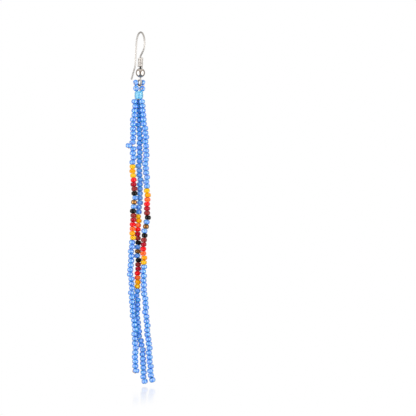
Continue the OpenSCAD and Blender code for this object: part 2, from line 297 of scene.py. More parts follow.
@dataclass(frozen=True)
class MetalFinish:
    """Steel under a bright white-metal plating, polished on the ball and satin on drawn wire.

    The ball mirrors what is round it. Handling leaves faint hazy patches and fine dents. A
    near-black tint paints shade and dark reflections where the wire and ball should look dark.
    """

    slot: Slot = Slot.METAL
    bright: str = "#D0CCC8"
    dull: str = "#C2BEB9"
    satin: str = "#C6C3BF"
    # Near-black tint of painted shade and painted dark reflections
    painted_shade_tint: str = "#1C1A1A"
    roughness: float = 0.09
    # Roughness that drawing adds to a wire, and the share of its light that the dull skin scatters
    satin_roughness: float = 0.68
    satin_scatter: float = 0.5
    haze_mm: float = 1.3
    dent_mm: float = 0.6
    dent_depth_mm: float = 0.002
    # From where to where in its noise the haze grows, and the shares of the roughness there
    haze_span: Pair = (0.3, 0.7)
    gloss_span: Pair = (0.6, 1.6)

    def material(self) -> Material:
        """Makes the material.

        Returns:
            The material, named for its slot.
        """
        material, add = new_material(self.slot.value)
        place = add("ShaderNodeTexCoord").outputs["Object"]
        satin, tarnish = [
            add("ShaderNodeAttribute", attribute_name=name).outputs["Fac"]
            for name in (SATIN, PAINTED_SHADE)
        ]
        haze, dents = [
            add("ShaderNodeTexNoise", {"Vector": place, "Scale": per_metre(size), "Detail": detail})
            for size, detail in ((self.haze_mm, 3.0), (self.dent_mm, 2.0))
        ]
        colour: Any = linear(self.bright)
        # The last tint paints shade and dark reflections where the painted shade attribute rises
        for cover, tint in ((haze, self.dull), (satin, self.satin), (tarnish, self.painted_shade_tint)):
            tints = {"Factor": cover, "A": colour, "B": linear(tint)}
            colour = add("ShaderNodeMix", tints, data_type="RGBA").outputs["Result"]
        begin, full = self.haze_span
        least, most = [self.roughness * part for part in self.gloss_span]
        spans = {"From Min": begin, "From Max": full, "To Min": least, "To Max": most}
        gloss = add("ShaderNodeMapRange", {"Value": haze, **spans})
        # Drawn wire is rougher, mirrors less and has no dents
        rough, mirrored, dented = [
            add("ShaderNodeMath", {0: satin, 1: factor, 2: rest}, operation="MULTIPLY_ADD")
            for factor, rest in (
                (self.satin_roughness, gloss), (-self.satin_scatter, 1.0), (-1.0, 1.0)
            )
        ]
        depth = self.dent_depth_mm * MM
        bump = add("ShaderNodeBump", {"Height": dents, "Distance": depth, "Strength": dented})
        sockets = {"Base Color": colour, "Metallic": mirrored, "Roughness": rough, "Normal": bump}
        shader = add("ShaderNodeBsdfPrincipled", sockets)
        add("ShaderNodeOutputMaterial", {"Surface": shader})
        return material


@dataclass(frozen=True)
class ThreadFinish:
    """Waxed nylon beading thread, twisted from fine filaments, with a low waxy sheen.

    The twist is drawn twice as coarse as a real one, so that a close view still shows it.
    """

    slot: Slot = Slot.THREAD
    light: str = "#CFB9AE"
    dark: str = "#A78A7D"
    roughness: float = 0.5
    sheen: float = 0.2
    twist_mm: float = 0.3
    # How the twist slants, in radians, and how unevenly it runs
    slope: float = 1.1
    unevenness: float = 0.8
    groove_mm: float = 0.02
    groove_strength: float = 0.6

    def material(self) -> Material:
        """Makes the material.

        Returns:
            The material, named for its slot.
        """
        material, add = new_material(self.slot.value)
        place = add("ShaderNodeTexCoord").outputs["Object"]
        layout = {"Rotation": (self.slope, 0, 0), "Scale": (per_metre(self.twist_mm),) * 3}
        turned = add("ShaderNodeMapping", {"Vector": place, **layout})
        waves = {"Vector": turned, "Scale": 1 / math.tau, "Distortion": self.unevenness}
        plies = add("ShaderNodeTexWave", waves, bands_direction="Z").outputs["Fac"]
        tints = {"Factor": plies, "A": linear(self.dark), "B": linear(self.light)}
        colour = add("ShaderNodeMix", tints, data_type="RGBA")
        relief = {"Distance": self.groove_mm * MM, "Strength": self.groove_strength}
        bump = add("ShaderNodeBump", {"Height": plies, **relief})
        sockets = {
            "Base Color": colour.outputs["Result"],
            "Roughness": self.roughness,
            "Sheen Weight": self.sheen,
            "Normal": bump,
        }
        shader = add("ShaderNodeBsdfPrincipled", sockets)
        add("ShaderNodeOutputMaterial", {"Surface": shader})
        return material


GLASS = (
    GlassFinish(Slot.BLUE, "#2684D1", "#1F7CC9", specular=1.0, ior=1.9, roughness=0.4),
    GlassFinish(Slot.TURQUOISE, "#69ABCB", "#5CA1C3", specular=0.6, streak_mm=0.6),
    GlassFinish(Slot.YELLOW, "#DBAB1A", "#D0A314"),
    GlassFinish(Slot.AMBER, "#E09802", "#D59000"),
    GlassFinish(Slot.ORANGE, "#E2652E", "#D65F2A"),
    GlassFinish(Slot.RED, "#DA141E", "#CB121B"),
    GlassFinish(Slot.CRIMSON, "#A00C24", "#940A1E"),
    GlassFinish(Slot.BRICK, "#8A2B2A", "#7F2524"),
    GlassFinish(Slot.BLACK, "#060608", "#030304", roughness=0.12, glow=0.0),
    # A fired-on metal lustre hides the glass
    GlassFinish(
        Slot.BRONZE, "#B4834A", "#80562E", roughness=0.16, metallic=1.0, ior=1.5, glow=0.0
    ),
)


@dataclass(frozen=True)
class Place:
    """Where a bead sits: its middle, the way of its hole, its stretch along that, and its size."""

    middle: Vector
    way: Vector
    stretch: float = 1.0
    size: float = 1.0


@dataclass(frozen=True)
class BeadShape:
    """A bead with a round hole: its wall bulges outwards, and its ends are nearly flat rings."""

    outer: float = 2.2
    length: float = 1.5
    shoulder: float = 1.2
    bore: float = 0.6
    sides: int = 10
    wall_steps: int = 4
    # Power that shapes the wall: below 1 it is fuller than an ellipse
    fullness: float = 0.85
    # Depth of the rounding where an end turns into the hole
    lip: float = 0.12
    # Share by which a bead may be smaller across; along its hole it is half of that
    size_spread: float = 0.05
    # Most by which a bead leans on its thread, in radians
    tilt_spread: float = math.radians(4)
    # Width and depth of the hollows that tumbling leaves in its form
    lump_size: float = 1.1
    lump_height: float = 0.02

    def mesh(self) -> Mesh:
        """Makes the bead.

        Returns:
            Its mesh, at the origin with its hole along +Z.
        """
        shoulder, half = self.shoulder / 2, self.length / 2
        bulge = (self.outer - self.shoulder) / 2
        angles = [math.pi * (i / self.wall_steps - 0.5) for i in range(self.wall_steps + 1)]
        wall = [
            (shoulder + bulge * max(math.cos(a), 0) ** self.fullness, half * math.sin(a))
            for a in angles
        ]
        hole = [(self.bore / 2, half - self.lip), (self.bore / 2, self.lip - half)]
        return lathe("bead", [*wall, *hole], self.sides)


SEED = BeadShape()
# Beads that show turned or alone have a finer form
ROUND_SEED = BeadShape(sides=24, wall_steps=10, tilt_spread=0.0)
RING_SEED = BeadShape(
    outer=2.02, length=1.4, shoulder=0.7, bore=0.34, fullness=0.9, lip=0.05, sides=24,
    wall_steps=12, size_spread=0.02, tilt_spread=0.0,
)
# The beading thread, and the sides of its rings and the distance between them
THREAD_RADIUS = 0.1
THREAD_SIDES = 8
THREAD_STEP = 0.25


class Workshop:
    """Keeps the materials and the two geometry trees, and turns them into pieces."""

    # From where to where in their noise a bead's hollows deepen
    LUMP_SPAN: Pair = (0.3, 0.8)

    def __init__(self) -> None:
        """Makes the materials and trees."""
        finishes = (*GLASS, MetalFinish(), ThreadFinish())
        self.materials = {finish.slot: finish.material() for finish in finishes}
        self.stringing = self.stringing_tree()
        self.drawing = self.drawing_tree()
        self.piece_count = 0

    @staticmethod
    def new_tree(
        name: str, inputs: dict[str, str]
    ) -> tuple[NodeTree, AddNode, bpy_prop_collection]:
        """Makes an empty geometry tree.

        Args:
            name: The tree's name.
            inputs: The names of its inputs, each with its kind of socket.

        Returns:
            The tree, what adds nodes to it, and its inputs.
        """
        tree = bpy.data.node_groups.new(name, "GeometryNodeTree")
        tree.interface.new_socket("Geometry", in_out="OUTPUT", socket_type="NodeSocketGeometry")
        for label, kind in inputs.items():
            tree.interface.new_socket(label, in_out="INPUT", socket_type=f"NodeSocket{kind}")
        add = partial(add_node, tree)
        return tree, add, add("NodeGroupInput").outputs

    @staticmethod
    def end_tree(add: AddNode, shape: Node, finish: NodeSocket) -> None:
        """Ends a geometry tree with smooth shading, real geometry and its material.

        Args:
            add: What adds nodes to the tree.
            shape: The node that gives the shape.
            finish: The material.
        """
        smooth = add("GeometryNodeSetShadeSmooth", {"Geometry": shape})
        real = add("GeometryNodeRealizeInstances", {"Geometry": smooth})
        dressed = add("GeometryNodeSetMaterial", {"Geometry": real, "Material": finish})
        add("NodeGroupOutput", {"Geometry": dressed})

    def stringing_tree(self) -> NodeTree:
        """Makes the tree that sets a bead on every point, along the point's way.

        Each bead turns on its thread and differs a little in size, shape and shade.

        Returns:
            The tree.
        """
        tree, add, given = self.new_tree(
            "strung beads",
            {
                "Points": "Geometry",
                "Bead": "Object",
                "Least turn": "Vector",
                "Most turn": "Vector",
                "Least size": "Vector",
                "Lump size": "Float",
                "Lump height": "Float",
                "Seed": "Int",
                "Finish": "Material",
            },
        )
        bead = add("GeometryNodeObjectInfo", {"Object": given["Bead"]})
        way, stretch = [
            add("GeometryNodeInputNamedAttribute", {"Name": name}, data_type="FLOAT_VECTOR")
            for name in (WAY, STRETCH)
        ]
        seed = {"Seed": given["Seed"]}
        spin, size = [
            add("FunctionNodeRandomValue", {**span, **seed}, data_type="FLOAT_VECTOR")
            for span in (
                {"Min": given["Least turn"], "Max": given["Most turn"]},
                {"Min": given["Least size"], "Max": (1, 1, 1)},
            )
        ]
        upright = add("FunctionNodeAlignRotationToVector", {"Vector": way}, axis="Z")
        turns = {"Rotation": upright, "Rotate By": spin}
        spun = add("FunctionNodeRotateRotation", turns, rotation_space="LOCAL")
        fitted = add("ShaderNodeVectorMath", {0: size, 1: stretch}, operation="MULTIPLY")
        strung = {
            "Points": given["Points"],
            "Instance": bead.outputs["Geometry"],
            "Rotation": spun,
            "Scale": fitted,
        }
        beads = add("GeometryNodeInstanceOnPoints", strung)
        shade = add("FunctionNodeRandomValue", seed, data_type="FLOAT").outputs[1]
        shaded = add(
            "GeometryNodeStoreNamedAttribute", {"Geometry": beads, "Name": SHADE, "Value": shade},
            domain="INSTANCE", data_type="FLOAT",
        )
        real = add("GeometryNodeRealizeInstances", {"Geometry": shaded})
        place = add("GeometryNodeInputPosition")
        cells = add("ShaderNodeMath", {0: 1.0, 1: given["Lump size"]}, operation="DIVIDE")
        lumps = add("ShaderNodeTexNoise", {"Vector": place, "Scale": cells, "Detail": 0.0})
        begin, full = self.LUMP_SPAN
        spans = {"From Min": begin, "From Max": full, "To Min": 0.0, "To Max": -1.0}
        height = add("ShaderNodeMapRange", {"Value": lumps, **spans})
        sunk = add("ShaderNodeMath", {0: height, 1: given["Lump height"]}, operation="MULTIPLY")
        normal = add("GeometryNodeInputNormal")
        offset = add("ShaderNodeVectorMath", {"Vector": normal, "Scale": sunk}, operation="SCALE")
        shaped = add("GeometryNodeSetPosition", {"Geometry": real, "Offset": offset})
        self.end_tree(add, shaped, given["Finish"])
        return tree

    def drawing_tree(self) -> NodeTree:
        """Makes the tree that draws a wire or a thread along a line of points.

        Returns:
            The tree.
        """
        tree, add, given = self.new_tree(
            "drawn wire",
            {"Line": "Geometry", "Radius": "Float", "Sides": "Int", "Finish": "Material"},
        )
        line = add("GeometryNodeMeshToCurve", {"Mesh": given["Line"]})
        slimness = add("GeometryNodeInputNamedAttribute", {"Name": SLIMNESS}, data_type="FLOAT")
        sized = add("GeometryNodeSetCurveRadius", {"Curve": line, "Radius": slimness})
        round_wire = {"Resolution": given["Sides"], "Radius": given["Radius"]}
        ring = add("GeometryNodeCurvePrimitiveCircle", round_wire)
        swept = {"Curve": sized, "Profile Curve": ring, "Fill Caps": True}
        self.end_tree(add, add("GeometryNodeCurveToMesh", swept), given["Finish"])
        return tree

    @staticmethod
    def run_tree(name: str, mesh: Mesh, tree: NodeTree, values: dict[str, Any]) -> Object:
        """Runs a geometry tree on a mesh and keeps the result as a plain mesh.

        Args:
            name: The new object's name.
            mesh: The points or lines that go into the tree.
            tree: The geometry tree.
            values: The value of each named input but the first.

        Returns:
            The object, with no modifier left on it.
        """
        piece = bpy.data.objects.new(name, mesh)
        bpy.context.scene.collection.objects.link(piece)
        modifier = piece.modifiers.new(tree.name, "NODES")
        modifier.node_group = tree
        sockets = {s.name: s.identifier for s in tree.interface.items_tree if s.in_out == "INPUT"}
        for label, value in values.items():
            modifier[sockets[label]] = value
        view = bpy.context.evaluated_depsgraph_get()
        result = bpy.data.meshes.new_from_object(
            piece.evaluated_get(view), preserve_all_data_layers=True, depsgraph=view
        )
        result.name = name
        piece.modifiers.clear()
        piece.data = result
        return piece

    def string_beads(
        self, name: str, shape: BeadShape, places: Sequence[Place], slot: Slot, node: str
    ) -> None:
        """Makes one piece of the tassel's beads.

        Args:
            name: The piece's name.
            shape: The bead that is repeated.
            places: Where each bead sits.
            slot: The material slot.
            node: The CAD node that the piece stands for.
        """
        points = bpy.data.meshes.new(f"{name}_points")
        points.from_pydata([place.middle * MM for place in places], [], [])
        ways = points.attributes.new(WAY, "FLOAT_VECTOR", "POINT")
        stretches = points.attributes.new(STRETCH, "FLOAT_VECTOR", "POINT")
        for way, stretch, place in zip(ways.data, stretches.data, places):
            way.vector = place.way
            stretch.vector = (place.size, place.size, place.size * place.stretch)
        bead = bpy.data.objects.new(f"{name}_bead", shape.mesh())
        self.piece_count += 1
        lean, least = shape.tilt_spread, 1 - shape.size_spread
        values = {
            "Bead": bead,
            "Least turn": (-lean, -lean, 0.0),
            "Most turn": (lean, lean, math.tau),
            "Least size": (least, least, 1 - shape.size_spread / 2),
            "Lump size": shape.lump_size * MM,
            "Lump height": shape.lump_height * MM,
            "Seed": self.piece_count,
            "Finish": self.materials[slot],
        }
        piece = self.run_tree(name, points, self.stringing, values)
        bpy.data.objects.remove(bead)
        self.hand_over(piece, TASSEL_BODY, slot, node)

    def draw_wire(
        self, name: str, line: Sequence[Vector], radius: float, sides: int, body: str, slot: Slot,
        node: str = "", slimness: Sequence[float] = (), tarnish: Sequence[float] = (),
        satin: float = 0.0,
    ) -> None:
        """Makes one piece of wire or thread.

        Args:
            name: The piece's name.
            line: The points along it, in millimetres.
            radius: The wire's radius in millimetres.
            sides: How many sides the wire's ring has.
            body: The body that the piece rides on.
            slot: The material slot.
            node: The CAD node that the piece stands for, if any.
            slimness: The share of the radius at the first points, 1 where it isn't given.
            tarnish: How much painted shade darkens the first points, 0 where it isn't given.
            satin: How satin its metal is.
        """
        mesh = bpy.data.meshes.new(f"{name}_line")
        edges = [(i, i + 1) for i in range(len(line) - 1)]
        mesh.from_pydata([point * MM for point in line], edges, [])
        # Points also carry painted shade, which darkens the wire's colour
        columns = ((SLIMNESS, slimness, 1.0), (PAINTED_SHADE, tarnish, 0.0), (SATIN, (), satin))
        for label, first, usual in columns:
            marks = mesh.attributes.new(label, "FLOAT", "POINT")
            marks.data.foreach_set("value", [*first, *[usual] * (len(line) - len(first))])
        values = {"Radius": radius * MM, "Sides": sides, "Finish": self.materials[slot]}
        piece = self.run_tree(name, mesh, self.drawing, values)
        piece.data.set_sharp_from_angle(angle=math.radians(SHARP_FROM))
        self.hand_over(piece, body, slot, node)

    def draw_thread(self, name: str, points: Sequence[Vector], node: str = "") -> None:
        """Makes one thread of the tassel.

        Args:
            name: The piece's name.
            points: The points that it passes through, in millimetres.
            node: The CAD node that the piece stands for, if any.
        """
        line = smooth_path(points, THREAD_STEP)
        self.draw_wire(name, line, THREAD_RADIUS, THREAD_SIDES, TASSEL_BODY, Slot.THREAD, node)

    @staticmethod
    def hand_over(piece: Object, body: str, slot: Slot, node: str) -> None:
        """Hangs a piece on its body and hides the CAD node that it stands for.

        Args:
            piece: The finished piece.
            body: The body that it rides on.
            slot: The material slot; not used.
            node: The CAD node that it stands for, if any.
        """
        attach(piece, body)
        if node:
            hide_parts(node)
        log.info("%s on %s: %d faces", piece.name, body, len(piece.data.polygons))


@dataclass(frozen=True)
class Bend:
    """A stretch of wire: a straight length, then a bend, positive to the left."""

    length: float
    radius: float
    angle: float


@dataclass
class Part:
    """A part of the earring, made in a workshop."""

    workshop: Workshop

    def build(self) -> None:
        """Makes the part's pieces."""
        raise NotImplementedError


@dataclass
class EarHook(Part):
    """The ear hook: one round wire bent into tail, back leg, bow, belly, stem and eye."""

    # The wire's diameter, the radii and lengths of its stretches, and their slants in degrees
    wire: float = 0.57
    bow: float = 3.75
    bow_back: float = -0.05
    belly: float = 3.2
    return_slant: float = 56
    stem_bend: float = 0.7
    leg_slant: float = 8.5
    leg: float = 7.3
    tail_bend: float = 30
    tail_bend_radius: float = 2
    tail: float = 5.0
    # The tail's end is rounded over this length, and half way at this share of it
    tip: float = 0.12
    tip_slope: float = 0.7
    tip_middle: float = 0.7
    eye: float = 0.9
    eye_drop: float = 16.47
    eye_back: float = 0.55
    neck: float = 0.5
    eye_sweep: float = 298
    sides: int = 24
    # Distance and turn between the wire's rings
    straight_step: float = 0.4
    bend_step: float = 5
    # Rows of drop and painted shade from the bow forwards and down to the eye: it paints shade and
    # dark reflections on the wire, least at a drop of about 4, most in the shaded gap between the
    # coil and the ball
    front_shading: Rows = (
        (-0.6, 0.5), (0.6, 0.42), (1.9, 0.3), (2.6, 0.24), (3.3, 0.08), (3.9, 0), (4.6, 0.05),
        (5.3, 0.2), (5.9, 0.32), (6.6, 0.42), (11.0, 0.3), (11.1, 1), (12, 1), (14, 0.45),
        (15, 0.28), (15.9, 0.3), (16.6, 0.4), (17.4, 0.9),
    )
    # The same from the bow backwards and down to the tail
    back_shading: Rows = (
        (-0.6, 0.5), (0.3, 0.24), (1.3, 0.1), (1.9, 0.14), (2.6, 0.18), (3.3, 0.1), (4.6, 0.08),
        (5.3, 0.02), (6.6, 0), (9, 0), (10.5, 0.08), (11.9, 0.28), (13.3, 0.26), (14.2, 0.2),
    )
    # The eye is turned out of the hook's plane, about an upright line this far behind the stem
    eye_twist: float = 17
    twist_back: float = 0.3
    twist_drops: Rows = ((14.7, 0), (15.5, 1))

    def front_bends(self) -> list[Bend]:
        """Works out the front of the hook.

        Returns:
            The bends from the top of the bow forwards and down to the eye's end.
        """
        slant = math.radians(self.return_slant)
        neck_bend = math.acos((self.eye_back + self.neck) / (self.neck + self.eye))
        neck_drop = self.eye_drop - (self.neck + self.eye) * math.sin(neck_bend)
        belly_back = -(self.bow - self.bow_back - self.belly) - self.belly * math.cos(slant)
        belly_drop = self.bow - self.wire / 2 + self.belly * math.sin(slant)
        run = (-belly_back - self.stem_bend * (1 - math.cos(slant))) / math.sin(slant)
        stem_drop = belly_drop + run * math.cos(slant) + self.stem_bend * math.sin(slant)
        return [
            Bend(0, self.bow, 90),
            Bend(0, self.belly, self.return_slant),
            Bend(run, self.stem_bend, -self.return_slant),
            Bend(neck_drop - stem_drop, self.neck, -math.degrees(neck_bend)),
            Bend(0, self.eye, self.eye_sweep),
        ]

    def back_bends(self) -> list[Bend]:
        """Works out the back of the hook.

        Returns:
            The bends from the top of the bow backwards and down to the tail.
        """
        return [
            Bend(0, self.bow, self.leg_slant - 90),
            Bend(self.leg, self.tail_bend_radius, self.tail_bend),
            Bend(self.tail - self.tip, 1, 0),
        ]

    def walk(self, bends: Sequence[Bend], heading: float) -> list[Vector]:
        """Follows the wire's middle from the top of the bow.

        Args:
            bends: The stretches in order.
            heading: The first heading, in degrees from +Y towards +Z.

        Returns:
            The points, in millimetres.
        """
        at = Vector((self.bow_back, self.wire / 2))
        points = [at.copy()]
        for bend in bends:
            ahead = Vector((math.cos(math.radians(heading)), math.sin(math.radians(heading))))
            pieces = math.ceil(bend.length / self.straight_step)
            points += [at + ahead * bend.length * (i + 1) / pieces for i in range(pieces)]
            at = at + ahead * bend.length
            side = math.copysign(bend.radius, bend.angle)
            middle = at + side * Vector((-ahead.y, ahead.x))
            steps = math.ceil(abs(bend.angle) / self.bend_step)
            for i in range(steps):
                turned = math.radians(heading + bend.angle * (i + 1) / steps)
                points.append(middle - side * Vector((-math.sin(turned), math.cos(turned))))
            heading += bend.angle
            at = points[-1]
        return [Vector((0, p.x, p.y)) for p in points]

    def twisted(self, point: Vector) -> Vector:
        """Turns a point of the stem or the eye out of the hook's plane.

        Args:
            point: The point in the hook's plane.

        Returns:
            The point where the twist takes it.
        """
        pivot = Vector((0, self.twist_back, 0))
        turn = math.radians(self.eye_twist) * lookup(-point.z, self.twist_drops)
        return pivot + Matrix.Rotation(turn, 3, "Z") @ (point - pivot)

    def build(self) -> None:
        """Draws the wire."""
        back = self.walk(self.back_bends(), 0)
        front = [self.twisted(point) for point in self.walk(self.front_bends(), 180)]
        ahead = (back[-1] - back[-2]).normalized()
        tip = [back[-1] + ahead * self.tip, back[-1] + ahead * self.tip * self.tip_middle]
        line = [*tip, *reversed(back), *front[1:]]
        end_slimness = 1 - self.tip * self.tip_slope / (self.wire / 2)
        behind = len(line) - len(front)
        # Painted shade and dark reflections along the wire, from the two tables
        tables = [self.back_shading] * behind + [self.front_shading] * len(front)
        tarnish = [lookup(-point.z, rows) for point, rows in zip(line, tables)]
        self.workshop.draw_wire(
            "ear_hook_wire", line, self.wire / 2, self.sides, HOOK_BODY, Slot.METAL, "ear_hook",
            [end_slimness, (1 + end_slimness) / 2], tarnish, satin=1.0,
        )


@dataclass
class Coil(Part):
    """The close coil of thin wire on the stem, leaning a little."""

    outer: float = 1.8
    wire: float = 0.48
    turns: float = 7.25
    drop: float = 8.0
    lean: float = 3
    sides: int = 12
    steps: int = 28
    # Its wire is less satin than the hook's
    satin: float = 0.5

    def build(self) -> None:
        """Winds the coil."""
        length = self.turns * self.wire
        middle = Vector((0, 0, -self.drop - length / 2))
        lean = Matrix.Rotation(math.radians(self.lean), 3, "Y")
        reach = self.outer / 2 - self.wire / 2
        line = []
        for i in range(round((self.turns - 1) * self.steps) + 1):
            turned = math.tau * i / self.steps
            rise = (i / self.steps + 0.5) * self.wire - length / 2
            point = Vector((reach * math.cos(turned), reach * math.sin(turned), rise))
            line.append(TO_ROW @ (middle + lean @ point))
        self.workshop.draw_wire(
            "coil_wire", line, self.wire / 2, self.sides, HOOK_BODY, Slot.METAL, "hook_coil",
            satin=self.satin,
        )


@dataclass
class Ball(Part):
    """The polished ball under the coil, with a hole wider than the stem."""

    outer: float = 3.16
    bore: float = 1.0
    drop: float = 13.2
    nod: float = 4
    # Radius of the rounded lip between the ball and its hole
    lip: float = 0.05
    sides: int = 64
    steps: int = 48
    # Rows of height above the ball's middle and painted shade round the hole's ends: the shaded gap
    # under the coil on top, and darker reflections underneath
    painted_dark: Rows = ((-1.45, 0.45), (-1.25, 0.1), (-1, 0), (1.2, 0), (1.38, 1))

    def outline(self) -> list[Pair]:
        """Works out the ball's section.

        Returns:
            The radius and height of its points: from its lower to its upper lip, then the hole.
        """
        radius, hole = self.outer / 2, self.bore / 2
        edge = math.acos((hole + self.lip) / radius)
        arc = [-edge + 2 * edge * i / self.steps for i in range(self.steps + 1)]
        top = radius * math.sin(edge)
        wall = [(hole, top - self.lip), (hole, 0), (hole, self.lip - top)]
        return [*[(radius * math.cos(a), radius * math.sin(a)) for a in arc], *wall]

    def build(self) -> None:
        """Turns the ball."""
        mesh = lathe("ball_shell", self.outline(), self.sides)
        # Painted shade and dark reflections round the hole's ends
        painted_dark = [lookup(v.co.z / MM, self.painted_dark) for v in mesh.vertices]
        mesh.attributes.new(PAINTED_SHADE, "FLOAT", "POINT").data.foreach_set("value", painted_dark)
        nod = TO_ROW @ Matrix.Rotation(math.radians(self.nod), 3, "X")
        mesh.transform(Matrix.Translation((0, 0, -self.drop * MM)) @ nod.to_4x4())
        mesh.materials.append(self.workshop.materials[Slot.METAL])
        piece = bpy.data.objects.new("ball_shell", mesh)
        bpy.context.scene.collection.objects.link(piece)
        self.workshop.hand_over(piece, HOOK_BODY, Slot.METAL, "hook_ball")


@dataclass
class Head(Part):
    """The large bead that gathers the strands."""

    side: float = -0.52
    depth: float = 0.38
    drop: float = 20.6
    shape: BeadShape = BeadShape(
        outer=2.94, length=2.8, shoulder=1.8, bore=1.1, sides=32, wall_steps=16, fullness=0.7,
        size_spread=0.0, tilt_spread=0.0, lump_size=1.4, lump_height=0.03,
    )
    # How far from the middle of its hole the threads pass its ends
    hole_spread: float = 0.3

    def middle(self) -> Vector:
        """Gives the middle of the bead."""
        return spot(self.side, self.depth, self.drop)

    def hole_end(self, up: float, across: Vector) -> Vector:
        """Gives a point at an end of the hole.

        Args:
            up: 1 for the upper end and -1 for the lower one.
            across: The direction in which the point stands off the hole's middle.

        Returns:
            The point, in millimetres.
        """
        end = Vector((0, 0, up * self.shape.length / 2))
        return self.middle() + end + across * self.hole_spread

    def build(self) -> None:
        """Makes the bead."""
        places = [Place(self.middle(), UP)]
        self.workshop.string_beads(
            "head_bead_glass", self.shape, places, Slot.TURQUOISE, "head_bead"
        )


@dataclass(frozen=True)
class LooseBead:
    """A bead that is placed by itself, in the tassel's view."""

    name: str
    side: float
    depth: float
    drop: float
    # The way of its hole as side, depth and rise
    way: Triple
    # Its size as a share of the usual one
    size: float = 1.0

    def place(self) -> Place:
        """Gives the bead's place in the row's frame."""
        way = (TO_ROW @ Vector(self.way)).normalized()
        return Place(spot(self.side, self.depth, self.drop), way, size=self.size)

    def ends(self, shape: BeadShape, lead: float) -> list[Vector]:
        """Gives the thread's points beside the bead.

        Args:
            shape: The bead's shape.
            lead: How far past the ends of the hole they are.

        Returns:
            The point before the bead and the one after it.
        """
        place = self.place()
        half = (self.size * shape.length / 2 + lead) * place.way
        return [place.middle - half, place.middle + half]


@dataclass
class BeadRing(Part):
    """The four beads and the thread that pass through the hook's eye."""

    head: Head
    hook: EarHook
    # In the order of the thread from the left of the head bead's hole
    beads: tuple[LooseBead, ...] = (
        LooseBead("lower_left", -1.44, 0.1, 18.35, (0.15, 0.95, 0.1)),
        LooseBead("upper_left", -1.56, 0.0, 16.44, (0.75, 0.6, 0.3), 0.97),
        LooseBead("upper_right", 0.72, 1.36, 16.4, (0.8, 0.3, -0.52), 0.97),
        LooseBead("lower_right", 0.58, 0.97, 18.41, (0.15, -0.95, 0.1)),
    )
    # How far the thread runs straight past the lower beads' holes and the head bead's, past the
    # upper beads', and inside the head bead
    lead: float = 0.2
    upper_lead: float = 0.05
    reach: float = 0.8
    # It crosses the eye straight along the axis on which the tassel swings, so it turns in place
    eye_points: tuple[float, ...] = (-0.5, -0.2, 0.2, 0.5)
    eye_clear: float = 0.05

    def thread(self) -> list[Vector]:
        """Lays out the thread.

        Returns:
            Its points, from the head bead through the eye and back.
        """
        left, right = TO_ROW @ Vector((-1, 0, 0)), TO_ROW @ Vector((1, 0, 0))
        out, back = self.head.hole_end(1, left), self.head.hole_end(1, right)
        inside = self.hook.eye_drop + self.hook.eye - self.hook.wire / 2
        drop = inside - THREAD_RADIUS - self.eye_clear
        through = [Vector((x, self.hook.eye_back, -drop)) for x in self.eye_points]
        leads = (self.lead, self.upper_lead, self.upper_lead, self.lead)
        holes = [bead.ends(RING_SEED, lead) for bead, lead in zip(self.beads, leads)]
        return [
            out - UP * self.reach, out + UP * self.lead,
            *holes[0], *holes[1], *through, *holes[2], *holes[3],
            back + UP * self.lead, back - UP * self.reach,
        ]

    def build(self) -> None:
        """Strings the ring."""
        for bead in self.beads:
            name, node = f"{bead.name}_ring_glass", f"ring_bead_{bead.name}"
            self.workshop.string_beads(name, RING_SEED, [bead.place()], Slot.BLUE, node)
        self.workshop.draw_thread("ring_thread_strand", self.thread(), "ring_thread")


DUSK = (Slot.YELLOW, Slot.AMBER, Slot.ORANGE, Slot.RED, Slot.CRIMSON, Slot.BRICK, Slot.BLACK)
BAND = (*DUSK, Slot.BLUE, Slot.BRONZE, Slot.BLUE, *reversed(DUSK))


